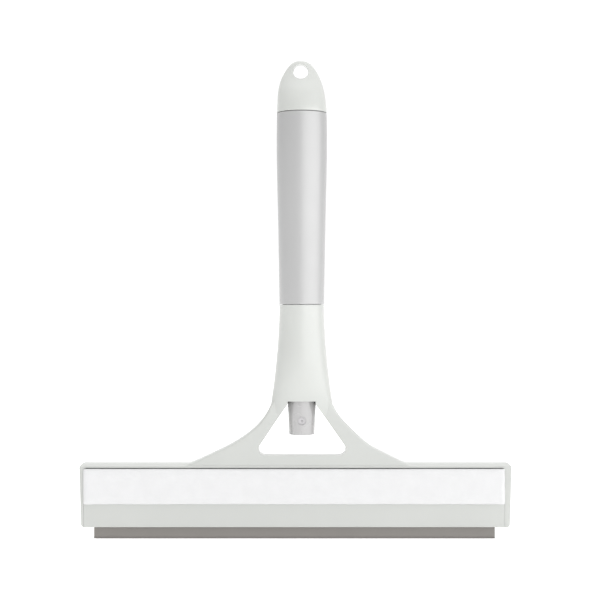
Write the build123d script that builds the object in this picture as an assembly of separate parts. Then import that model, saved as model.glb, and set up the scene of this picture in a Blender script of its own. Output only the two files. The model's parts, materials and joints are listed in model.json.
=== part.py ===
"""Window squeegee with a spray handle: head, scrub pad, blade, flared neck, mist pump and reservoir grip.

Millimetres. +Z runs up the handle, -Y is the working front, +X is to the right seen from the front.
The origin is under the middle of the head, at the blade's edge.
"""
from build123d import *
import os

# ---- driving dimensions ------------------------------------------------------------------------------------
HEAD_WIDTH = 253.5
HEAD_HALF_DEPTH = 5.5
HEAD_TOP = 44.5
HEAD_BOTTOM = 7.15
HEAD_SIDE_DRAFT = 1.1       # how far each side comes in from top to bottom
FRONT_LEAN = 0.3            # how far the face goes back from top to bottom
BACK_BOTTOM = 4.3           # the back slopes in to this at the bottom
BACK_BEND_Z = 22.0          # where the back starts to slope
WALL = 1.6
ROOF = 2.55
BROW_DEPTH = 2.3            # bevel along the roof's front edge
BROW_HEIGHT = 1.6

AXIS_X = 3.7                # the handle's axis is a little right of the head's middle
PLATE_HALF = 5.0            # half the thickness of the arms
SEAM_LOW = 137.6            # neck to grip
SEAM_HIGH = 250.6           # grip to end cap
TOP = 281.1

BLADE_WIDTH = 236.0
BLADE_X = -0.6
BLADE_Y = -0.5
BLADE_THICK = 2.4
BLADE_TIP = 1.3
BULB_R = 1.9
BULB_Z = 14.4

RAIL_FRONT = -3.4
RAIL_BACK = 2.4
RAIL_BOTTOM = 9.6
RAIL_TOP = 18.0

SCREW_X = [-100.0, -50.0, 0.0, 50.0, 100.0]
SCREW_Z = 31.0
SCREW_R = 1.25
SCREW_HEAD_R = 3.0
SCREW_HEAD = 0.9            # thickness of the screw head, and depth of its recess

TRAY_LEFT = -124.3
TRAY_RIGHT = 122.7
TRAY_Z = 20.65              # the pad's ledge, top of the lip
TRAY_FLOOR = -2.2           # front face of the tray behind the pad
TRAY_WALL = 1.5
PLATE_GAP = 0.08            # between the front plate and the rims of the head
CORNER_R = 1.8              # upper corners of the opening for the pad
PAD_TOP = 41.45
PAD_FRONT = -7.6
PAD_BACK = -3.0             # back face of the pad assembly, against the hooks

CAP_LEAN = 0.6              # the hanging hole is this far left of the handle's axis
HOLE_R = 4.5
HOLE_Z = 274.5

NECK_BORE_R = 11.6
NECK_BORE_LOW = 96.0
RESERVOIR_R = 11.4
RESERVOIR_BORE_R = 10.0
MOUTH_LOW = 101.0           # lower mouth, where the pump is screwed on
MOUTH_HIGH = 258.4          # upper mouth, closed by the end cap
RING_Z = 129.0              # snap ring that holds the reservoir in the neck
RING_HEIGHT = 2.4
SEAM_GAP = 0.3
FIT = 0.05                  # radial clearance of a running fit

SPRAY_BORE_R = 8.7
SPRAY_BOTTOM = 61.3
SPRAY_TOP = 86.0
ORIFICE_Z = 69.7
INSERT_R = 2.35

STEM_R = 1.9
CYLINDER_R = 4.2            # bore of the pump cylinder
CYLINDER_TOP = 124.2
BALL_R = 1.6
BALL_LIFT = 1.0
BALL_SEAT = 128.2
STEM_LOW = 72.0
SPRING_WIRE_R = 0.3
SPRING_TURNS = 5

# (x from the handle's axis, z) round the window: lower corners first, then the notch the spray head hangs in
WINDOW = [(-28.6, 49.3), (29.2, 49.3), (8.0, 79.6), (8.0, 81.2), (-8.3, 81.2), (-8.3, 79.6)]
WINDOW_CORNER_R = 3.8

os.makedirs("parts", exist_ok=True)


# ---- helpers -----------------------------------------------------------------------------------------------
def on_axis(z):
    """The horizontal plane at height z, centred on the handle's axis."""
    return Plane((AXIS_X, 0, z), x_dir=(1, 0, 0), z_dir=(0, 0, 1))


def rod(radius, low, high):
    return extrude(on_axis(low) * Circle(radius), high - low)


def tube(outer, inner, low, high):
    return extrude(on_axis(low) * (Circle(outer) - Circle(inner)), high - low)


def block(x0, x1, y0, y1, z0, z1):
    centre = ((x0 + x1) / 2, (y0 + y1) / 2, (z0 + z1) / 2)
    return Pos(*centre) * Box(x1 - x0, y1 - y0, z1 - z0)


def front_face(points):
    """A flat face in the XZ plane from (x, z) corners."""
    wire = Polyline(*[(x, 0, z) for x, z in points], close=True)
    return make_face(wire)


def through_y(face, low, high):
    """Sweeps a face that lies in the XZ plane from y = low to y = high."""
    return extrude(Pos(0, low, 0) * face, high - low, dir=(0, 1, 0))


def side_bar(points, x0, x1):
    """A bar along X whose section has the given (y, z) corners."""
    wire = Polyline(*[(x0, y, z) for y, z in points], close=True)
    return extrude(make_face(wire), x1 - x0, dir=(1, 0, 0))


def ovals(sections):
    """A smooth body through (z, half width, half depth) ovals on the handle's axis."""
    return loft([on_axis(z) * Ellipse(a, b) for z, a, b in sections])


def y_cylinder(radius, x, z, y0, y1):
    plane = Plane((x, y0, z), x_dir=(1, 0, 0), z_dir=(0, 1, 0))
    return extrude(plane * Circle(radius), y1 - y0)


def save(name, *shapes):
    """Writes one sub-part, as one solid or as a group of separate ones."""
    solids = [solid for shape in shapes for solid in shape.solids()]
    body = solids[0] if len(solids) == 1 else Compound(children=solids)
    body.label = name
    export_step(body, f"parts/{name}.step")


# ---- frame: neck sleeve, arms, head housing ----------------------------------------------------------------
NECK_FOOT = 62.0
NECK_STEPS = 16
ARMS_Z = 78.2               # where the neck's flare becomes the arms

# (x from the handle's axis, z) down each arm: neck, shoulder, bend, elbow,
# wrist, pull of the foot's curve, foot
LEFT_ARM = [
    (-13.0, 88.0), (-18.6, 78.2), (-28.9, 64.5), (-45.5, 53.8),
    (-59.2, 47.4), (-67.0, 43.7), (-73.0, 43.2),
]
RIGHT_ARM = [
    (13.0, 88.0), (18.7, 78.2), (29.5, 64.5), (43.2, 53.3),
    (55.7, 47.1), (62.3, 43.7), (68.0, 43.2),
]


def neck_half_width(z):
    """Flares as a parabola from the grip down to the arms, then tucks into the flat frame."""
    if z < ARMS_Z:
        return 18.42 - 3.6 * ((ARMS_Z - z) / (ARMS_Z - NECK_FOOT)) ** 2
    flare = (SEAM_LOW - z) / (SEAM_LOW - ARMS_Z)
    return 13.2 + 1.1 * flare + 4.12 * flare ** 2


def neck_half_depth(z):
    """Round behind the grip, then thins until it sinks into the flat frame."""
    begin = 110.0
    if z > begin:
        return 13.2
    return 13.2 - 9.2 * ((begin - z) / (begin - NECK_FOOT)) ** 2.3


def make_neck():
    step = (SEAM_LOW - NECK_FOOT) / NECK_STEPS
    heights = [NECK_FOOT + i * step for i in range(NECK_STEPS + 1)]
    return ovals([(z, neck_half_width(z), neck_half_depth(z)) for z in heights])


def arm_edge(points):
    """One arm's upper outline, from inside the neck out to the head's roof."""
    neck, shoulder, bend, elbow, wrist, pull, foot = [(AXIS_X + x, 0, z) for x, z in points]
    side = 1 if foot[0] > neck[0] else -1
    curve = Spline(shoulder, bend, elbow, tangents=[(0.42 * side, 0, -1), (side, 0, -0.51)])
    return [Line(neck, shoulder), curve, Line(elbow, wrist), Bezier(wrist, pull, foot)]


def arm_outline():
    """The flat frame seen from the front: both arms from inside the neck down into the head's roof."""
    base = HEAD_TOP - ROOF + 0.2
    left, right = arm_edge(LEFT_ARM), arm_edge(RIGHT_ARM)
    ends = []
    for edges in (left, right):
        foot = edges[-1] @ 1
        ends.append((foot, (foot.X, 0, base)))
    closing = [
        Line(ends[0][0], ends[0][1]),
        Line(ends[0][1], ends[1][1]),
        Line(ends[1][1], ends[1][0]),
        Line(right[0] @ 0, left[0] @ 0),
    ]
    return make_face(left + closing + right)


def window_face():
    """The triangular window, rounded at its lower corners, with the notch at its top."""
    face = front_face([(AXIS_X + x, z) for x, z in WINDOW])
    return fillet(face.vertices().sort_by(Axis.Z)[:2], WINDOW_CORNER_R)


def head_outline():
    """The head's front silhouette: slightly narrower at the bottom, rounded corners."""
    half = HEAD_WIDTH / 2
    face = front_face([
        (-half, HEAD_TOP),
        (half, HEAD_TOP),
        (half - HEAD_SIDE_DRAFT, HEAD_BOTTOM),
        (-half + HEAD_SIDE_DRAFT, HEAD_BOTTOM),
    ])
    face = fillet(face.vertices().sort_by(Axis.Z)[-2:], 2.5)
    return fillet(face.vertices().sort_by(Axis.Z)[:2], 1.8)


def face_y(z):
    """Where the leaning front face of the head is at height z."""
    return -HEAD_HALF_DEPTH + FRONT_LEAN * (HEAD_TOP - z) / (HEAD_TOP - HEAD_BOTTOM)


def head_block():
    section = [
        (-HEAD_HALF_DEPTH, HEAD_TOP - BROW_HEIGHT),
        (-HEAD_HALF_DEPTH + BROW_DEPTH, HEAD_TOP),
        (HEAD_HALF_DEPTH, HEAD_TOP),
        (HEAD_HALF_DEPTH, BACK_BEND_Z),
        (BACK_BOTTOM, HEAD_BOTTOM),
        (face_y(HEAD_BOTTOM), HEAD_BOTTOM),
    ]
    bar = side_bar(section, -HEAD_WIDTH, HEAD_WIDTH)
    top_back = bar.edges().filter_by(Axis.X).sort_by(Axis.Z)[-2:].sort_by(Axis.Y)[-1]
    return fillet(top_back, 1.0) & through_y(head_outline(), -20, 20)


def round_top(body, radius):
    """Rounds the two upper corners, as seen from the front."""
    return fillet(body.edges().filter_by(Axis.Y).group_by(Axis.Z)[-1], radius)


def housing_cavity():
    """What is taken out of the head: open at the front and along the bottom, rounded at the upper corners."""
    section = [
        (-20, HEAD_TOP - ROOF),
        (HEAD_HALF_DEPTH - WALL, HEAD_TOP - ROOF),
        (HEAD_HALF_DEPTH - WALL, BACK_BEND_Z),
        (BACK_BOTTOM - WALL, HEAD_BOTTOM - 1),
        (-20, HEAD_BOTTOM - 1),
    ]
    return round_top(side_bar(section, TRAY_LEFT, TRAY_RIGHT), CORNER_R)


def make_frame():
    plate = through_y(arm_outline(), -PLATE_HALF, PLATE_HALF)
    rims = plate.faces().filter_by(Axis.Y).edges().filter_by(lambda edge: edge.center().Z > HEAD_TOP)
    body = make_neck() + fillet(rims, 1.2) + (head_block() - housing_cavity())
    for x in SCREW_X:
        body -= y_cylinder(SCREW_HEAD_R + 0.2, x, SCREW_Z, HEAD_HALF_DEPTH - SCREW_HEAD, HEAD_HALF_DEPTH + 1)
        body -= y_cylinder(1.7, x, SCREW_Z, 0, HEAD_HALF_DEPTH + 1)
    body -= through_y(window_face(), -20, 20)
    body -= rod(NECK_BORE_R, NECK_BORE_LOW, SEAM_LOW + 1)
    body -= rod(NECK_BORE_R + 0.5, RING_Z - 0.1, RING_Z + RING_HEIGHT + 0.1)
    return body - rod(SPRAY_BORE_R, 60.0, NECK_BORE_LOW + 1)


# ---- head: front plate, rail, blade, screws ----------------------------------------------------------------
def make_front_plate():
    """Tray behind the pad with the lip below it, and bosses for the screws from the back."""
    back = TRAY_FLOOR + TRAY_WALL
    heel = RAIL_BOTTOM - 0.3
    lip = face_y(HEAD_BOTTOM)
    section = [
        (lip, HEAD_BOTTOM),
        (face_y(TRAY_Z), TRAY_Z),
        (TRAY_FLOOR, TRAY_Z),
        (TRAY_FLOOR, PAD_TOP - 0.6),
        (back, PAD_TOP - 0.6),
        (back, TRAY_Z - TRAY_WALL),
        (RAIL_FRONT - 0.3, TRAY_Z - TRAY_WALL),
        (RAIL_FRONT - 0.3, heel),
        (RAIL_FRONT + 0.8, heel),
        (RAIL_FRONT + 0.8, HEAD_BOTTOM),
    ]
    body = round_top(side_bar(section, TRAY_LEFT + PLATE_GAP, TRAY_RIGHT - PLATE_GAP), CORNER_R)
    bevel = [(lip - 0.1, HEAD_BOTTOM - 0.1), (lip - 0.1, HEAD_BOTTOM + 0.7), (lip + 0.7, HEAD_BOTTOM - 0.1)]
    body -= side_bar(bevel, BLADE_X - BLADE_WIDTH / 2, BLADE_X + BLADE_WIDTH / 2)
    for x in SCREW_X:
        body += y_cylinder(3.0, x, SCREW_Z, back - 0.5, HEAD_HALF_DEPTH - WALL - 0.1)
        body -= y_cylinder(SCREW_R + FIT, x, SCREW_Z, TRAY_FLOOR + 1.0, HEAD_HALF_DEPTH)
    return body


def along_blade(radius, margin=0.0):
    """A round bar through the blade's bulb, longer than the blade by the margin at each end."""
    left = BLADE_X - BLADE_WIDTH / 2 - margin
    circle = Plane((left, BLADE_Y, BULB_Z), x_dir=(0, 1, 0), z_dir=(1, 0, 0)) * Circle(radius)
    return extrude(circle, BLADE_WIDTH + 2 * margin)


def make_blade_rail():
    """Channel with a round socket for the blade's bulb and a slot for its web."""
    left, right = BLADE_X - BLADE_WIDTH / 2, BLADE_X + BLADE_WIDTH / 2
    slot = BLADE_THICK / 2 + 0.1
    body = block(left, right, RAIL_FRONT, RAIL_BACK, RAIL_BOTTOM, RAIL_TOP)
    body -= along_blade(BULB_R + 0.1, 1.0)
    return body - block(left - 1, right + 1, BLADE_Y - slot, BLADE_Y + slot, RAIL_BOTTOM - 1, BULB_Z)


def make_blade():
    """Wiper strip: bulb root, flat web and a bevelled working edge."""
    web, tip, bevel = BLADE_THICK / 2, BLADE_TIP / 2, 1.6
    section = [
        (BLADE_Y - web, BULB_Z),
        (BLADE_Y - web, bevel),
        (BLADE_Y - tip, 0),
        (BLADE_Y + tip, 0),
        (BLADE_Y + web, bevel),
        (BLADE_Y + web, BULB_Z),
    ]
    strip = side_bar(section, BLADE_X - BLADE_WIDTH / 2, BLADE_X + BLADE_WIDTH / 2)
    return strip + along_blade(BULB_R)


def make_rail_clips():
    """End clips that close the rail and keep the blade from sliding out."""
    clips = []
    for side in (-1, 1):
        x0 = BLADE_X + side * (BLADE_WIDTH / 2 + 0.1)
        x1 = x0 + side * 1.6
        clip = block(min(x0, x1), max(x0, x1), RAIL_FRONT, RAIL_BACK, RAIL_BOTTOM + 0.5, RAIL_TOP)
        clips.append(fillet(clip.edges().filter_by(Axis.X), 0.8))
    return clips


def make_housing_screw(x):
    """Self-tapping screw with a flush round head and a cross recess."""
    head_back = HEAD_HALF_DEPTH - 0.1
    head_front = HEAD_HALF_DEPTH - SCREW_HEAD
    body = y_cylinder(SCREW_HEAD_R, x, SCREW_Z, head_front, head_back)
    body += y_cylinder(SCREW_R, x, SCREW_Z, TRAY_FLOOR + 1.2, head_front)
    for wide, tall in ((3.2, 0.7), (0.7, 3.2)):
        recess = block(-wide / 2, wide / 2, head_back - 0.5, head_back + 1, -tall / 2, tall / 2)
        body -= Pos(x, 0, SCREW_Z) * recess
    return body


# ---- scrub pad ---------------------------------------------------------------------------------------------
PAD_SIDE = 0.06             # gap between the pad and the rims of the head
PAD_SKIN = 1.5              # thickness of the microfibre
FOAM_BACK = PAD_BACK - 0.8


def pad_block(y0, y1, inset=0.0):
    side = PAD_SIDE + inset
    return block(TRAY_LEFT + side, TRAY_RIGHT - side, y0, y1, TRAY_Z + PAD_SIDE + inset, PAD_TOP - inset)


def make_scrub_pad():
    """Microfibre cover: a shallow tray-shaped skin over the front and sides of the foam."""
    body = round_top(pad_block(PAD_FRONT, FOAM_BACK), 1.6)
    body = fillet(body.faces().sort_by(Axis.Y)[0].edges(), 1.0)
    return body - pad_block(PAD_FRONT + PAD_SKIN, 0, PAD_SKIN + 0.1)


def make_pad_foam():
    return pad_block(PAD_FRONT + PAD_SKIN + 0.1, FOAM_BACK, PAD_SKIN + 0.2)


def make_pad_backing():
    body = pad_block(FOAM_BACK + 0.1, PAD_BACK, 0.4)
    return fillet(body.edges().filter_by(Axis.Y), 1.8)


def make_hook_strip():
    body = block(TRAY_LEFT + 4, TRAY_RIGHT - 4, PAD_BACK + 0.1, TRAY_FLOOR, TRAY_Z + 2.5, PAD_TOP - 2.5)
    return fillet(body.edges().filter_by(Axis.Y), 1.5)


# ---- handle: reservoir, grip, end cap ----------------------------------------------------------------------
def turned_polygon(points):
    """Turns a closed outline of (radius, z) corners about the handle's axis."""
    wire = Polyline(*[(r, 0, z) for r, z in points], close=True)
    return Pos(AXIS_X, 0, 0) * revolve(make_face(wire), Axis.Z)


def make_reservoir():
    body = turned_polygon([
        (8.0, MOUTH_LOW),
        (9.3, MOUTH_LOW),
        (9.3, 113.0),
        (RESERVOIR_R, 116.0),
        (RESERVOIR_R, RING_Z),
        (RESERVOIR_R - 0.5, RING_Z),
        (RESERVOIR_R - 0.5, RING_Z + RING_HEIGHT),
        (RESERVOIR_R, RING_Z + RING_HEIGHT),
        (RESERVOIR_R, SEAM_HIGH - 0.6),
        (10.5, SEAM_HIGH),
        (10.5, MOUTH_HIGH),
        (8.8, MOUTH_HIGH),
        (8.8, SEAM_HIGH),
        (RESERVOIR_BORE_R, SEAM_HIGH - 2.0),
        (RESERVOIR_BORE_R, 117.5),
        (8.0, 115.0),
    ])
    for z in (252.4, 255.4):
        body += turned_polygon([(10.0, z), (10.4, z), (10.8, z + 0.6), (10.4, z + 1.2), (10.0, z + 1.2)])
    return body


def make_neck_ring():
    """Split snap ring, sprung into the groove of the neck and the groove of the reservoir."""
    ring = tube(NECK_BORE_R + 0.4, RESERVOIR_R - 0.4, RING_Z + 0.1, RING_Z + RING_HEIGHT - 0.1)
    return ring - block(AXIS_X - 1.5, AXIS_X + 1.5, 5, 20, RING_Z - 1, RING_Z + RING_HEIGHT + 1)


def make_grip():
    low, high = SEAM_LOW + SEAM_GAP, SEAM_HIGH - SEAM_GAP
    inner = RESERVOIR_R + 0.1
    outer = Spline(
        (13.2, 0, low),
        (13.55, 0, 160.0),
        (14.25, 0, 196.0),
        (14.92, 0, 236.0),
        (14.75, 0, high),
    )
    face = make_face([
        outer,
        Line((14.75, 0, high), (inner, 0, high)),
        Line((inner, 0, high), (inner, 0, low)),
        Line((inner, 0, low), (13.2, 0, low)),
    ])
    body = Pos(AXIS_X, 0, 0) * revolve(face, Axis.Z)
    rims = body.edges().filter_by(GeomType.CIRCLE).filter_by(lambda e: e.radius > 12.5)
    return fillet(rims, 0.35)


# (z, lean, half width, half depth) of the end cap; a lean of 1 is the whole of CAP_LEAN
CAP_OVALS = [
    (SEAM_HIGH, 0.0, 14.75, 14.75),
    (254.0, 0.0, 14.6, 14.35),
    (258.0, 0.2, 14.35, 13.35),
    (262.0, 0.5, 13.95, 11.7),
    (266.0, 0.8, 13.15, 9.2),
    (270.0, 1.0, 11.85, 6.6),
    (274.0, 1.0, 9.95, 4.8),
    (277.6, 1.0, 7.6, 3.7),
    (280.2, 1.0, 4.8, 2.7),
    (TOP, 1.0, 2.7, 1.7),
]


def make_end_cap():
    """Domed screw cap that flattens towards its hanging hole."""
    body = loft([on_axis(z) * Pos(-CAP_LEAN * lean, 0) * Ellipse(a, b) for z, lean, a, b in CAP_OVALS])
    body -= rod(10.9, SEAM_HIGH - 1, MOUTH_HIGH + 1.0)
    return body - y_cylinder(HOLE_R, AXIS_X - CAP_LEAN, HOLE_Z, -15, 15)


def make_cap_seal():
    return tube(10.5, 8.8, MOUTH_HIGH + 0.05, MOUTH_HIGH + 0.95)


# ---- fine-mist pump ----------------------------------------------------------------------------------------
def make_pump_closure():
    """Screw collar: end wall with a hole for the stem guide, ribbed skirt round the reservoir's mouth."""
    body = tube(11.2, 9.5, NECK_BORE_LOW + 0.2, 112.0)
    body += tube(9.6, 4.6, NECK_BORE_LOW + 0.2, 98.0)
    for i in range(24):
        groove = Pos(AXIS_X, 0, 0) * Rot(0, 0, 15 * i) * block(11.0, 12, -0.4, 0.4, 99, 113)
        body -= groove
    return body


def make_closure_gasket():
    return tube(9.2, 5.4, 100.05, MOUTH_LOW - 0.05)


def make_pump_housing():
    """Cylinder with a flange at its mouth, a ball cage and a socket for the dip tube."""
    outer = CYLINDER_R + 1.0
    return turned_polygon([
        (CYLINDER_R, 98.1),
        (9.2, 98.1),
        (9.2, 100.0),
        (outer, 100.0),
        (outer, 127.0),
        (2.9, 130.5),
        (2.9, 138.0),
        (1.75, 138.0),
        (1.75, 131.0),
        (1.1, 131.0),
        (1.1, BALL_SEAT),
        (BALL_R + 0.3, BALL_SEAT - 0.9),
        (BALL_R + 0.3, CYLINDER_TOP + 0.6),
        (1.3, CYLINDER_TOP + 0.6),
        (1.3, CYLINDER_TOP),
        (CYLINDER_R, CYLINDER_TOP),
    ])


def make_stem_guide():
    """Ring in the cylinder's mouth that guides the stem and stops the piston."""
    return turned_polygon([
        (STEM_R + FIT, 96.0),
        (3.4, 96.0),
        (3.4, 97.6),
        (CYLINDER_R - FIT, 98.6),
        (CYLINDER_R - FIT, 104.5),
        (STEM_R + FIT, 104.5),
    ])


def make_piston():
    """Piston seal with a lip at each end, on the stem's upper end."""
    lip = CYLINDER_R - FIT
    return turned_polygon([
        (STEM_R + 0.02, 104.7),
        (lip - 0.5, 104.7),
        (lip, 105.6),
        (lip, 106.6),
        (3.0, 107.6),
        (3.0, 110.6),
        (lip, 111.6),
        (lip, 112.6),
        (lip - 0.5, 113.5),
        (STEM_R + 0.02, 113.5),
    ])


def make_stem():
    return tube(STEM_R, 0.8, STEM_LOW, 113.5)


def make_spring():
    """Compression spring between the piston and the top of the cylinder."""
    low = 113.6 + SPRING_WIRE_R
    high = CYLINDER_TOP - 0.1 - SPRING_WIRE_R
    radius = 3.3
    path = Helix((high - low) / SPRING_TURNS, high - low, radius)
    wire = Plane(path @ 0, z_dir=path % 0) * Circle(SPRING_WIRE_R)
    return Pos(AXIS_X, 0, low) * sweep(wire, path, is_frenet=True)


def make_inlet_ball():
    """Check ball, lying on its cage; suction and pressure move it up to its seat."""
    return Pos(AXIS_X, 0, BALL_SEAT - 1.2 - BALL_LIFT - 0.05) * Sphere(BALL_R)


def make_dip_tube():
    return tube(1.7, 1.1, 131.1, 246.0)


def make_actuator():
    """Spray head: tapered cup with a stem post, a nozzle boss and a finger dish underneath."""
    low = SPRAY_BOTTOM
    shell = turned_polygon([
        (0, low),
        (7.7, low),
        (8.25, 78.0),
        (8.25, SPRAY_TOP),
        (7.2, SPRAY_TOP),
        (7.2, 78.0),
        (6.7, low + 2.6),
        (0, low + 2.6),
    ])
    shell = fillet(shell.edges().filter_by(GeomType.CIRCLE).sort_by(Axis.Z)[0], 0.35)
    post = rod(3.6, low + 2.0, 84.0)
    boss = y_cylinder(3.6, AXIS_X, ORIFICE_Z, -6.9, 0)
    body = shell + post + boss
    body -= rod(STEM_R + 0.02, STEM_LOW - 0.1, 85.0)
    body -= rod(0.8, ORIFICE_Z, STEM_LOW)
    body -= y_cylinder(0.8, AXIS_X, ORIFICE_Z, -8, 0)
    body -= y_cylinder(INSERT_R + 0.02, AXIS_X, ORIFICE_Z, -12, -4.4)
    return body - Pos(AXIS_X, 0, low - 14.2) * Sphere(15.0)


def make_nozzle_insert():
    """Round orifice insert with a small spray hole in a shallow dish."""
    body = y_cylinder(INSERT_R, AXIS_X, ORIFICE_Z, -7.4, -4.4)
    body -= y_cylinder(0.3, AXIS_X, ORIFICE_Z, -8, -4)
    return body - Pos(AXIS_X, -7.4 - 1.6, ORIFICE_Z) * Sphere(1.9)


# ---- write one file per piece ------------------------------------------------------------------------------
save("frame", make_frame())
save("front_plate", make_front_plate())
save("blade_rail", make_blade_rail())
save("rail_clips", *make_rail_clips())
save("blade", make_blade())
save("housing_screws", *[make_housing_screw(x) for x in SCREW_X])
save("scrub_pad", make_scrub_pad())
save("pad_foam", make_pad_foam())
save("pad_backing", make_pad_backing())
save("hook_strip", make_hook_strip())
save("reservoir", make_reservoir())
save("neck_ring", make_neck_ring())
save("grip_sleeve", make_grip())
save("end_cap", make_end_cap())
save("cap_seal", make_cap_seal())
save("pump_closure", make_pump_closure())
save("closure_gasket", make_closure_gasket())
save("pump_housing", make_pump_housing())
save("stem_guide", make_stem_guide())
save("piston", make_piston())
save("pump_stem", make_stem())
save("return_spring", make_spring())
save("inlet_ball", make_inlet_ball())
save("dip_tube", make_dip_tube())
save("actuator", make_actuator())
save("nozzle_insert", make_nozzle_insert())
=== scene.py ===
"""Window squeegee with a spray handle: materials, soft pieces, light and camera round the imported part."""
import json
import math

import bmesh
import bpy
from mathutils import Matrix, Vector, noise as field


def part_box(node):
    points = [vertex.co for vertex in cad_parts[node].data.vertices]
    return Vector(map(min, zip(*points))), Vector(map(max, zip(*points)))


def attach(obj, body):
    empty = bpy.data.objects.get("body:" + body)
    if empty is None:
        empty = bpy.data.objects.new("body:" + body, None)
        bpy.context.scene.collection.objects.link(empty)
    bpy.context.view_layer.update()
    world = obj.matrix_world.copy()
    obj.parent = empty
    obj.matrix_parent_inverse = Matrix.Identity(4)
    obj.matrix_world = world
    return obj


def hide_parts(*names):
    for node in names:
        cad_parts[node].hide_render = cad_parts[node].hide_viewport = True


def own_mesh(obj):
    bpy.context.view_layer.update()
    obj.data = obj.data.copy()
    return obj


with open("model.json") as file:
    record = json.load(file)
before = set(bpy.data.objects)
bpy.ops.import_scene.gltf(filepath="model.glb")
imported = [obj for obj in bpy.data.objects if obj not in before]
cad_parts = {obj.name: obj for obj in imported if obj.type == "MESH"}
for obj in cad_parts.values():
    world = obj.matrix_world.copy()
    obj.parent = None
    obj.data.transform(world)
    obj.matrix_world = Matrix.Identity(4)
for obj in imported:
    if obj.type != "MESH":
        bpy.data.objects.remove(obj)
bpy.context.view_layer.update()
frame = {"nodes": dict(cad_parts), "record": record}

NODES = frame["nodes"]
MM = 0.001

# The handle's axis, from the grip's box, and the camera's place relative to it.
grip_low, grip_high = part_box("grip_sleeve")
AXIS_X = (grip_low.x + grip_high.x) / 2
CAMERA_DISTANCE = 796.5 * MM
CAMERA_LEFT = 1.06 * MM
CAMERA_HEIGHT = 140.4 * MM
LENS = 81.0
SENSOR = 36


# ---- small helpers -------------------------------------------------------------------------------
def link(obj):
    bpy.context.scene.collection.objects.link(obj)
    return obj


def new_material(name):
    """An empty node material with a Principled shader: returns the material, its tree and the shader."""
    material = bpy.data.materials.new(name)
    material.use_nodes = True
    tree = material.node_tree
    return material, tree, tree.nodes["Principled BSDF"]


def object_coords(tree, scale=(1, 1, 1)):
    """The part's own coordinates in metres, since every object sits at the origin, stretched by scale."""
    coords = tree.nodes.new("ShaderNodeTexCoord")
    mapping = tree.nodes.new("ShaderNodeMapping")
    mapping.inputs["Scale"].default_value = scale
    tree.links.new(coords.outputs["Object"], mapping.inputs["Vector"])
    return mapping.outputs["Vector"]


def noise(tree, vector, scale, detail=3.0, rough=0.5):
    node = tree.nodes.new("ShaderNodeTexNoise")
    node.inputs["Scale"].default_value = scale
    node.inputs["Detail"].default_value = detail
    node.inputs["Roughness"].default_value = rough
    tree.links.new(vector, node.inputs["Vector"])
    return node.outputs["Fac"]


def remap(tree, value, low, high, to_low, to_high):
    node = tree.nodes.new("ShaderNodeMapRange")
    for name, number in (("From Min", low), ("From Max", high), ("To Min", to_low), ("To Max", to_high)):
        node.inputs[name].default_value = number
    tree.links.new(value, node.inputs["Value"])
    return node.outputs["Result"]


def spread(tree, value, to_low, to_high):
    """Stretches a noise, which mostly lies between 0.3 and 0.7, over a range."""
    return remap(tree, value, 0.3, 0.7, to_low, to_high)


def mix_colour(tree, factor, first, second):
    node = tree.nodes.new("ShaderNodeMix")
    node.data_type = "RGBA"
    for socket, colour in ((node.inputs[6], first), (node.inputs[7], second)):
        if isinstance(colour, tuple):
            socket.default_value = (*colour, 1)
        else:
            tree.links.new(colour, socket)
    tree.links.new(factor, node.inputs[0])
    return node.outputs[2]


def bump(tree, height, distance, strength=1.0, normal=None):
    node = tree.nodes.new("ShaderNodeBump")
    node.inputs["Distance"].default_value = distance
    node.inputs["Strength"].default_value = strength
    tree.links.new(height, node.inputs["Height"])
    if normal is not None:
        tree.links.new(normal, node.inputs["Normal"])
    return node.outputs["Normal"]


def combine(tree, operation, first, second):
    node = tree.nodes.new("ShaderNodeMath")
    node.operation = operation
    tree.links.new(first, node.inputs[0])
    tree.links.new(second, node.inputs[1])
    return node.outputs[0]


def toned(tree, colour, factor):
    """The colour, brightened or darkened by a factor that varies over the surface."""
    node = tree.nodes.new("ShaderNodeHueSaturation")
    node.inputs["Color"].default_value = (*colour, 1)
    tree.links.new(factor, node.inputs["Value"])
    return node.outputs["Color"]


def by_height(tree, low, high, to_low, to_high):
    """A value that changes between two heights of the part, in millimetres."""
    split = tree.nodes.new("ShaderNodeSeparateXYZ")
    tree.links.new(object_coords(tree), split.inputs[0])
    return remap(tree, split.outputs["Z"], low * MM, high * MM, to_low, to_high)


def by_tilt(tree, low, high, to_low, to_high):
    """A value that changes with how far the surface leans from upright."""
    split = tree.nodes.new("ShaderNodeSeparateXYZ")
    tree.links.new(tree.nodes.new("ShaderNodeNewGeometry").outputs["Normal"], split.inputs[0])
    lean = tree.nodes.new("ShaderNodeMath")
    lean.operation = "ABSOLUTE"
    tree.links.new(split.outputs["Z"], lean.inputs[0])
    return remap(tree, lean.outputs[0], low, high, to_low, to_high)


def soft_edges(tree, radius):
    """A normal that rounds sharp edges by the radius, as a mould leaves them."""
    node = tree.nodes.new("ShaderNodeBevel")
    node.samples = 4
    node.inputs["Radius"].default_value = radius
    return node.outputs["Normal"]


# ---- materials -----------------------------------------------------------------------------------
# Noise scales of each material, coarse to fine.
PLASTIC_FLOW, PLASTIC_GLOSS, PLASTIC_GRAIN = 26, 90, 2400
RUBBER_FLOW, RUBBER_GLOSS, RUBBER_GRAIN = 18, 120, 3200
METAL_STAIN, METAL_LINES = 60, 900
CLEAR_FLOW, CLEAR_GRAIN = 40, 900
PILE_MOTTLE, PILE_CLUMPS, PILE_FIBRE = 130, 900, 4200
WEAVE_GRAIN = 2400
WAVES_PER_UNIT = 3          # of a wave texture at scale 1

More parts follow.
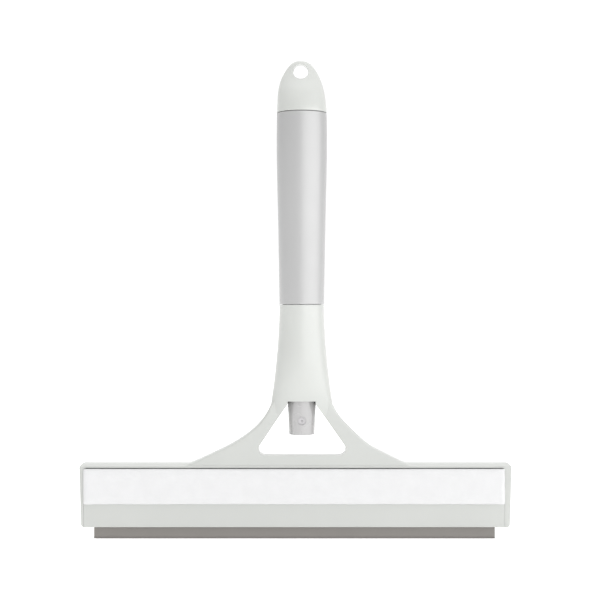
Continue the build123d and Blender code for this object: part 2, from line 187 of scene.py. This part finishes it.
EDGE_RADIUS = 0.3 * MM      # moulded edges
PAINTED_SHADE_FADE = (68, 90)        # heights between which the painted shade on the flat faces gives way to the round neck
PAINTED_HIGHLIGHT_LEAN = (0.2, 0.6)      # a bevel leans more than this and gets the painted highlight, an upright face less and gets the painted shade
PAINTED_CATCH_LIGHT = 1.05          # what a bevel's tone gains by the painted highlight
PAINTED_EDGE_SHADE_FADE = (0.4, 1.2)    # heights between which the painted shade on the blade's edge gives way to its side


def moulded_plastic(name, colour, roughness=0.34, grain=0.012, specular=0.7, coat=0.35, painted_flat_shade=1.0):
    """Satin moulded plastic: fine spark-eroded grain, slow flow marks, softly rounded edges.

    Painted shade: the flat upright faces near the head are darkened by the last factor, fading out up the
    round neck; leaning faces get a painted highlight.
    """
    material, tree, shader = new_material(name)
    vector = object_coords(tree)
    shade = spread(tree, noise(tree, vector, PLASTIC_FLOW, 4), 0.97, 1)
    # Painted shade on the flat upright faces below the neck, and a painted highlight on leaning faces and
    # bevels.
    if painted_flat_shade < 1:
        upper = by_height(tree, *PAINTED_SHADE_FADE, painted_flat_shade, 1)
        # Painted highlight where a face leans, up or down, as bevels do.
        painted_lean_highlight = by_tilt(tree, *PAINTED_HIGHLIGHT_LEAN, painted_flat_shade, PAINTED_CATCH_LIGHT)
        shade = combine(tree, "MULTIPLY", shade, combine(tree, "MAXIMUM", upper, painted_lean_highlight))
    tree.links.new(toned(tree, colour, shade), shader.inputs["Base Color"])
    rough = spread(tree, noise(tree, vector, PLASTIC_GLOSS, 5), roughness - 0.04, roughness + 0.04)
    tree.links.new(rough, shader.inputs["Roughness"])
    edges = soft_edges(tree, EDGE_RADIUS)
    pitted = bump(tree, noise(tree, vector, PLASTIC_GRAIN, 2), grain * MM, 1.0, edges)
    tree.links.new(pitted, shader.inputs["Normal"])
    tree.links.new(edges, shader.inputs["Coat Normal"])
    shader.inputs["Specular IOR Level"].default_value = specular
    shader.inputs["Coat Weight"].default_value = coat
    shader.inputs["Coat Roughness"].default_value = 0.3
    return material


def soft_rubber(name, colour, roughness=0.5, grain=0.02, specular=0.5, coat=0.0, edge=1.0):
    """Soft-touch rubber: bead-blasted grain and slow shade changes, with a satin skin where coat is above 0.

    The lowest millimetre, which wipes the glass, gets painted shade, darker by the factor edge.
    """
    material, tree, shader = new_material(name)
    vector = object_coords(tree)
    shade = spread(tree, noise(tree, vector, RUBBER_FLOW, 5), 0.96, 1)
    # Painted shade along the lowest millimetre of the blade.
    if edge < 1:
        shade = combine(tree, "MULTIPLY", shade, by_height(tree, *PAINTED_EDGE_SHADE_FADE, edge, 1))
    tree.links.new(toned(tree, colour, shade), shader.inputs["Base Color"])
    rough = spread(tree, noise(tree, vector, RUBBER_GLOSS, 4), roughness - 0.05, roughness + 0.05)
    tree.links.new(rough, shader.inputs["Roughness"])
    tree.links.new(bump(tree, noise(tree, vector, RUBBER_GRAIN, 2), grain * MM), shader.inputs["Normal"])
    shader.inputs["Specular IOR Level"].default_value = specular
    shader.inputs["Coat Weight"].default_value = coat
    shader.inputs["Coat IOR"].default_value = 2.35
    shader.inputs["Coat Roughness"].default_value = 0.42
    return material


def metal(name, colour, roughness, stretch=(1, 1, 1)):
    """Drawn or extruded metal: brushed along its length, with faint tarnish."""
    material, tree, shader = new_material(name)
    shader.inputs["Metallic"].default_value = 1.0
    lines = noise(tree, object_coords(tree, stretch), METAL_LINES, 6)
    stain = noise(tree, object_coords(tree), METAL_STAIN, 5)
    darker = tuple(c * 0.8 for c in colour)
    tinted = mix_colour(tree, remap(tree, stain, 0.4, 0.75, 0, 1), colour, darker)
    tree.links.new(tinted, shader.inputs["Base Color"])
    tree.links.new(spread(tree, lines, roughness - 0.08, roughness + 0.1), shader.inputs["Roughness"])
    tree.links.new(bump(tree, lines, 0.01 * MM), shader.inputs["Normal"])
    return material


def clear_plastic(name, colour):
    """Milky polypropylene that lets some light through."""
    material, tree, shader = new_material(name)
    vector = object_coords(tree)
    flow = spread(tree, noise(tree, vector, CLEAR_FLOW, 3), 0, 1)
    milky = tuple(c * 0.94 for c in colour)
    tree.links.new(mix_colour(tree, flow, colour, milky), shader.inputs["Base Color"])
    shader.inputs["Roughness"].default_value = 0.25
    shader.inputs["Subsurface Weight"].default_value = 0.25
    shader.inputs["Subsurface Radius"].default_value = (0.002, 0.002, 0.002)
    tree.links.new(bump(tree, noise(tree, vector, CLEAR_GRAIN, 2), 0.01 * MM), shader.inputs["Normal"])
    return material


def microfibre(name, colour):
    """Short looped pile: clumps of fibre, a slow mottle of tone, a sheen at grazing light."""
    material, tree, shader = new_material(name)
    vector = object_coords(tree)
    clumps = tree.nodes.new("ShaderNodeTexVoronoi")
    clumps.inputs["Scale"].default_value = PILE_CLUMPS
    tree.links.new(vector, clumps.inputs["Vector"])
    mottle = noise(tree, vector, PILE_MOTTLE, 4)
    fibre = noise(tree, object_coords(tree, (1, 1, 2.4)), PILE_FIBRE, 3, 0.7)
    shade = remap(tree, mottle, 0.35, 0.65, 0, 1)
    tinted = mix_colour(tree, shade, tuple(c * 0.975 for c in colour), colour)
    tree.links.new(tinted, shader.inputs["Base Color"])
    shader.inputs["Roughness"].default_value = 0.92
    shader.inputs["Specular IOR Level"].default_value = 0.2
    shader.inputs["Sheen Weight"].default_value = 0.35
    shader.inputs["Sheen Roughness"].default_value = 0.5
    first = bump(tree, clumps.outputs["Distance"], 0.09 * MM, 0.5)
    tree.links.new(bump(tree, fibre, 0.05 * MM, 0.7, first), shader.inputs["Normal"])
    return material


def woven(name, colour, pitch=0.6):
    """Coarse woven tape: uneven ribs, with painted shade darkening the hollows between them."""
    material, tree, shader = new_material(name)
    vector = object_coords(tree)
    wave = tree.nodes.new("ShaderNodeTexWave")
    wave.inputs["Scale"].default_value = 1 / (pitch * MM) / WAVES_PER_UNIT
    wave.inputs["Distortion"].default_value = 1.5
    tree.links.new(vector, wave.inputs["Vector"])
    # Painted shade: the wave's darker bands stand for the hollows between the ribs.
    painted_hollow_shade = tuple(c * 0.85 for c in colour)
    tree.links.new(mix_colour(tree, wave.outputs["Fac"], painted_hollow_shade, colour), shader.inputs["Base Color"])
    shader.inputs["Roughness"].default_value = 0.9
    height = noise(tree, vector, WEAVE_GRAIN, 4, 0.7)
    tree.links.new(bump(tree, height, 0.15 * MM, 0.8), shader.inputs["Normal"])
    return material


MATERIALS = {
    # The frame's flat faces get painted shade, 0.92 of their tone.
    "frame_plastic": moulded_plastic("frame_plastic", (0.482, 0.494, 0.473), 0.34, 0.012, 0.9, 0.6, 0.92),
    "spray_plastic": moulded_plastic("spray_plastic", (0.357, 0.352, 0.352), 0.26, 0.006, 1.0, 1.0),
    "insert_plastic": moulded_plastic("insert_plastic", (0.46, 0.45, 0.46), 0.45, 0.008, 0.4, 0.0),
    "grip_rubber": soft_rubber("grip_rubber", (0.28, 0.28, 0.28), 0.42, 0.015, 1.0, 1.0),
    # The blade's lowest millimetre gets painted shade, 0.7 of its tone.
    "blade_rubber": soft_rubber("blade_rubber", (0.22, 0.207, 0.194), 0.5, 0.012, 0.4, 0.0, 0.7),
    "rail_metal": metal("rail_metal", (0.75, 0.75, 0.76), 0.35, (0.05, 1, 1)),
    "screw_steel": metal("screw_steel", (0.6, 0.6, 0.6), 0.3),
    "spring_steel": metal("spring_steel", (0.62, 0.62, 0.63), 0.25),
    "microfibre": microfibre("microfibre", (0.635, 0.635, 0.64)),
    "sponge": microfibre("sponge", (0.8, 0.8, 0.76)),
    "loop_fabric": woven("loop_fabric", (0.8, 0.8, 0.8)),
    "hook_tape": moulded_plastic("hook_tape", (0.6, 0.6, 0.6), 0.5, 0.02, 0.3, 0.0),
    "reservoir_plastic": clear_plastic("reservoir_plastic", (0.82, 0.84, 0.83)),
    "seal_rubber": soft_rubber("seal_rubber", (0.42, 0.42, 0.4)),
}


def finish_cad_nodes():
    """Gives every CAD node the material of its slot in the record."""
    for part in frame["record"]["subparts"]:
        mesh = NODES[part["node"]].data
        mesh.materials.clear()
        mesh.materials.append(MATERIALS[part["material_slot"]])


# ---- scrub pad -----------------------------------------------------------------------------------
SIM_SCALE = 10              # the cloth solver is steadier on a larger copy
SIM_FRAMES = 20
PAD_INSET = 0.15 * MM       # the pad starts this much inside its CAD box and swells into it
PAD_VOXEL = 1.2 * MM
PAD_CORNER = 1.3 * MM       # upper corners
PAD_CROWN = 0.75 * MM       # the furthest a point may move
PAD_PRESSURE = 4.0
SIDE_SHARE = 0.6            # this share of each side's points may stop short of the box
PILE = [(420, 0.07), (90, 0.06)]    # scale and height of the tufts, and of the clumps they stand in
FLAT_BACK = 0.3 * MM        # the pile ends this far from the back


def smooth(obj):
    for polygon in obj.data.polygons:
        polygon.use_smooth = True


def apply_modifiers(obj):
    """Bakes the object's modifiers into its mesh."""
    depsgraph = bpy.context.evaluated_depsgraph_get()
    mesh = bpy.data.meshes.new_from_object(obj.evaluated_get(depsgraph))
    obj.modifiers.clear()
    obj.data = mesh


def finish_piece(obj, slot, body, *nodes):
    """Gives a new piece its material, hides the CAD nodes it stands for, and attaches it to the body it moves
    with.
    """
    obj.data.materials.clear()
    obj.data.materials.append(MATERIALS[slot])
    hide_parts(*nodes)
    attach(obj, body)


def pad_blank(name, low, high, corner):
    """A block about its own centre, at simulation scale, with its upper corners rounded in the front view."""
    size = (high - low) * SIM_SCALE
    bm = bmesh.new()
    bmesh.ops.create_cube(bm, size=1)
    for vert in bm.verts:
        vert.co = Vector([c * s for c, s in zip(vert.co, size)])
    corners = [
        edge for edge in bm.edges
        if abs(edge.verts[0].co.y - edge.verts[1].co.y) > size.y / 2 and edge.verts[0].co.z > 0
    ]
    bmesh.ops.bevel(bm, geom=corners, offset=corner * SIM_SCALE, segments=4, affect="EDGES", profile=0.5)
    mesh = bpy.data.meshes.new(name)
    bm.to_mesh(mesh)
    bm.free()
    return link(bpy.data.objects.new(name, mesh))


def swell(obj):
    """Blows the piece up with the cloth solver, moving no point further than the crown."""
    cloth = obj.modifiers.new("cloth", "CLOTH")
    cloth.settings.quality = 6
    cloth.settings.mass = 0.3
    cloth.settings.tension_stiffness = 25
    cloth.settings.compression_stiffness = 25
    cloth.settings.bending_stiffness = 2
    cloth.settings.use_pressure = True
    cloth.settings.uniform_pressure_force = PAD_PRESSURE
    cloth.settings.effector_weights.gravity = 0
    cloth.point_cache.frame_start = 1
    cloth.point_cache.frame_end = SIM_FRAMES
    scene = bpy.context.scene
    for number in range(1, SIM_FRAMES + 1):
        scene.frame_set(number)
    swollen = obj.evaluated_get(bpy.context.evaluated_depsgraph_get()).data
    ends = [vert.co.copy() for vert in swollen.vertices]
    obj.modifiers.clear()
    scene.frame_set(1)
    furthest = PAD_CROWN * SIM_SCALE
    for vert, end in zip(obj.data.vertices, ends):
        step = end - vert.co
        if step.length > furthest:
            step *= furthest / step.length
        vert.co += step


def fit_sides(pad, low, high):
    """Stretches the cover in its own plane until its typical side meets the box it is pressed into."""
    middle = (low + high) / 2
    for axis in (0, 2):
        half = (high[axis] - low[axis]) / 2
        for side in (-1, 1):
            reach = sorted((vert.co[axis] - middle[axis]) * side for vert in pad.data.vertices)
            outer = [value for value in reach if value > half - PAD_VOXEL]
            typical = outer[int(len(outer) * SIDE_SHARE)]
            for vert in pad.data.vertices:
                if (vert.co[axis] - middle[axis]) * side > 0:
                    vert.co[axis] = middle[axis] + (vert.co[axis] - middle[axis]) * half / typical


def add_pile(pad, back):
    """Small uneven tufts over the cover, none on the flat back."""
    normals = [vert.normal.copy() for vert in pad.data.vertices]
    for vert, normal in zip(pad.data.vertices, normals):
        if vert.co.y < back - FLAT_BACK:
            vert.co += normal * sum(field.noise(vert.co * scale) * height for scale, height in PILE) * MM


def make_pad():
    """The microfibre pad: a cover over its foam, crowned by cloth simulation, with a short looped pile."""
    low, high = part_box("scrub_pad")
    inset = Vector((PAD_INSET, PAD_INSET, PAD_INSET))
    start, end = low + inset, high - inset
    end.y = high.y
    pad = pad_blank("scrub_pad_cover", start, end, PAD_CORNER)
    remesh = pad.modifiers.new("remesh", "REMESH")
    remesh.mode = "VOXEL"
    remesh.voxel_size = PAD_VOXEL * SIM_SCALE
    apply_modifiers(pad)
    swell(pad)
    centre = (start + end) / 2
    for vert in pad.data.vertices:
        vert.co = vert.co / SIM_SCALE + centre
    pad.modifiers.new("finer", "SUBSURF").levels = 1
    apply_modifiers(pad)
    fit_sides(pad, low, high)
    add_pile(pad, high.y)
    for vert in pad.data.vertices:
        vert.co.x = min(max(vert.co.x, low.x), high.x)
        vert.co.z = min(max(vert.co.z, low.z), high.z)
        vert.co.y = min(vert.co.y, high.y)
    smooth(pad)
    finish_piece(pad, "microfibre", "pad", "scrub_pad", "pad_foam")


# ---- backing, hook tape and spring ---------------------------------------------------------------
EDGE_THICKNESS = 0.45       # a slab's edge, as a share of its middle
RIPPLE = 0.07               # how much a slab's thickness varies
RIPPLE_SCALE = 300
BACKING_CORNER = 1.8 * MM
BACKING_CELL = 1.4 * MM     # size of the slab's mesh faces
TAPE_CORNER = 1.5 * MM
TAPE_CELL = 2.5 * MM
HOOK_PITCH = 2.1 * MM
HOOK_BASE = 0.28 * MM       # thickness of the tape that carries the hooks
HOOK_SINK = 0.02 * MM       # how far a hook's foot is sunk in the tape
HOOK_SIDES = 6
# Radius and height in millimetres, from the foot to the top of the cap.
HOOK_PROFILE = [(0.22, 0.0), (0.15, 0.2), (0.15, 0.27), (0.36, 0.31), (0.3, 0.39), (0.1, 0.42)]


def cloth_slab(name, low, high, corner, cell):
    """A thin closed sheet facing the front: rounded corners, rolled edges and a slight ripple."""
    columns, rows = round((high.x - low.x) / cell), round((high.z - low.z) / cell)
    middle, half = (low.y + high.y) / 2, (high.y - low.y) / 2
    bm = bmesh.new()

    def spot(i, k, side):
        x = low.x + (high.x - low.x) * i / columns
        z = low.z + (high.z - low.z) * k / rows
        centre_x = min(max(x, low.x + corner), high.x - corner)
        centre_z = min(max(z, low.z + corner), high.z - corner)
        offset = Vector((x - centre_x, z - centre_z))
        if offset.length > corner:
            offset *= corner / offset.length
        on_edge = i in (0, columns) or k in (0, rows)
        ripple = RIPPLE * field.noise(Vector((x, side, z)) * RIPPLE_SCALE)
        depth = half * (EDGE_THICKNESS if on_edge else 1 - RIPPLE + ripple)
        return bm.verts.new((centre_x + offset.x, middle + side * depth, centre_z + offset.y))

    front = [[spot(i, k, -1) for k in range(rows + 1)] for i in range(columns + 1)]
    rear = [[spot(i, k, 1) for k in range(rows + 1)] for i in range(columns + 1)]
    for i in range(columns):
        for k in range(rows):
            bm.faces.new((front[i][k], front[i + 1][k], front[i + 1][k + 1], front[i][k + 1]))
            bm.faces.new((rear[i][k], rear[i][k + 1], rear[i + 1][k + 1], rear[i + 1][k]))
    rim = [(i, 0) for i in range(columns)] + [(columns, k) for k in range(rows)]
    rim += [(i, rows) for i in range(columns, 0, -1)] + [(0, k) for k in range(rows, 0, -1)]
    for here, after in zip(rim, rim[1:] + rim[:1]):
        a, b = front[here[0]][here[1]], front[after[0]][after[1]]
        c, d = rear[after[0]][after[1]], rear[here[0]][here[1]]
        bm.faces.new((a, d, c, b))
    mesh = bpy.data.meshes.new(name)
    bm.to_mesh(mesh)
    bm.free()
    obj = link(bpy.data.objects.new(name, mesh))
    smooth(obj)
    return obj


def make_backing():
    """The pad's knitted back, which the hooks hold."""
    low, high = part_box("pad_backing")
    backing = cloth_slab("pad_backing_knit", low, high, BACKING_CORNER, BACKING_CELL)
    finish_piece(backing, "loop_fabric", "pad", "pad_backing")


def add_mushroom(bm, x, y, z):
    """One mushroom hook standing towards the front on (x, y, z)."""
    rings = []
    for radius, height in HOOK_PROFILE:
        ring = []
        for step in range(HOOK_SIDES):
            angle = math.tau * step / HOOK_SIDES
            across, up = radius * MM * math.cos(angle), radius * MM * math.sin(angle)
            ring.append(bm.verts.new((x + across, y - height * MM, z + up)))
        rings.append(ring)
    for below, above in zip(rings, rings[1:]):
        for step in range(HOOK_SIDES):
            after = (step + 1) % HOOK_SIDES
            bm.faces.new((below[step], below[after], above[after], above[step]))
    bm.faces.new(rings[-1])
    bm.faces.new(rings[0][::-1])


def make_hooks():
    """The hook tape on the tray's floor: a thin base with rows of mushroom hooks."""
    low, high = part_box("hook_strip")
    base_low = Vector((low.x, high.y - HOOK_BASE, low.z))
    tape = cloth_slab("hook_strip_hooks", base_low, high, TAPE_CORNER, TAPE_CELL)
    bm = bmesh.new()
    bm.from_mesh(tape.data)
    columns = int((high.x - low.x) / HOOK_PITCH) - 1
    rows = int((high.z - low.z) / HOOK_PITCH) - 1
    for i in range(columns):
        for k in range(rows + i % 2):
            x = (low.x + high.x) / 2 + (i - (columns - 1) / 2) * HOOK_PITCH
            z = (low.z + high.z) / 2 + (k - (rows - 1 + i % 2) / 2) * HOOK_PITCH
            add_mushroom(bm, x, base_low.y + HOOK_SINK, z)
    bmesh.ops.recalc_face_normals(bm, faces=bm.faces)
    bm.to_mesh(tape.data)
    bm.free()
    finish_piece(tape, "hook_tape", "handle", "hook_strip")


def make_spring():
    """The pump's return spring, copied from its CAD node with a mesh of its own, at rest; the real one
    shortens against the top of its cylinder as the pump is pressed.
    """
    spring = link(bpy.data.objects.new("return_spring_coil", NODES["return_spring"].data.copy()))
    finish_piece(spring, "spring_steel", "handle", "return_spring")
    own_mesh(spring)


# ---- stage, light and camera ---------------------------------------------------------------------
ROOM_FRONT = 0.5            # brightness of the white room in front of the object, and behind it
ROOM_BACK = 1.06
WALL_TURN = (0.5, 0.94)     # where the front of the room gives way to its back
CEILING = 1.1               # what the room gains straight overhead
BOX_BEARING = math.radians(46)
BOX_DISTANCE = 1.8
BOX_HEIGHT = 0.3
BOX_WIDTH = 3.4
BOX_DEPTH = 1.15            # its other side
BOX_POWER = 20.5            # watts
BOX_AIM = (0, 0, 0.14)      # the middle of the object
FLOOR_SIZE = 60
FLOOR_GLOW = 0.45           # keeps the floor as white as the room


def make_stage():
    """A plain, nearly white floor under the blade."""
    half = FLOOR_SIZE / 2
    corners = [(-half, -half, 0), (half, -half, 0), (half, half, 0), (-half, half, 0)]
    mesh = bpy.data.meshes.new("floor")
    mesh.from_pydata(corners, [], [(0, 1, 2, 3)])
    floor = link(bpy.data.objects.new("floor", mesh))
    material, tree, shader = new_material("floor_white")
    shader.inputs["Base Color"].default_value = (0.9, 0.9, 0.9, 1)
    shader.inputs["Roughness"].default_value = 0.9
    shader.inputs["Emission Color"].default_value = (1, 1, 1, 1)
    shader.inputs["Emission Strength"].default_value = FLOOR_GLOW
    floor.data.materials.append(material)


def make_room():
    """Surroundings that light the object a little less from the front, and look white all round."""
    world = bpy.data.worlds.new("studio")
    bpy.context.scene.world = world
    world.use_nodes = True
    tree = world.node_tree
    split = tree.nodes.new("ShaderNodeSeparateXYZ")
    tree.links.new(tree.nodes.new("ShaderNodeTexCoord").outputs["Generated"], split.inputs[0])
    walls = remap(tree, split.outputs["Y"], *WALL_TURN, ROOM_FRONT, ROOM_BACK)
    overhead = remap(tree, split.outputs["Z"], 0.1, 1, 0, CEILING)
    seen = tree.nodes.new("ShaderNodeLightPath").outputs["Is Camera Ray"]
    total = combine(tree, "MAXIMUM", combine(tree, "ADD", walls, overhead), seen)
    background = tree.nodes["Background"]
    background.inputs["Color"].default_value = (1, 1, 1, 1)
    tree.links.new(total, background.inputs["Strength"])


def make_soft_box():
    """One wide soft light to the right of the camera, aimed at the middle of the object."""
    light = bpy.data.lights.new("soft_box", "AREA")
    light.energy = BOX_POWER
    light.shape = "RECTANGLE"
    light.size = BOX_WIDTH
    light.size_y = BOX_DEPTH
    obj = link(bpy.data.objects.new("soft_box", light))
    obj.visible_camera = False
    obj.location = (BOX_DISTANCE * math.sin(BOX_BEARING), -BOX_DISTANCE * math.cos(BOX_BEARING), BOX_HEIGHT)
    obj.rotation_euler = (Vector(BOX_AIM) - obj.location).to_track_quat("-Z", "Y").to_euler()


def make_camera():
    camera = bpy.data.cameras.new("camera")
    camera.lens = LENS
    camera.sensor_width = SENSOR
    camera.clip_start = 0.01
    camera.clip_end = 50
    obj = link(bpy.data.objects.new("camera", camera))
    obj.location = (AXIS_X - CAMERA_LEFT, -CAMERA_DISTANCE, CAMERA_HEIGHT)
    obj.rotation_euler = (math.pi / 2, 0, 0)
    bpy.context.scene.camera = obj


finish_cad_nodes()
make_pad()
make_backing()
make_hooks()
make_spring()
make_stage()
make_room()
make_soft_box()
make_camera()
bpy.context.scene.view_settings.view_transform = "Standard"
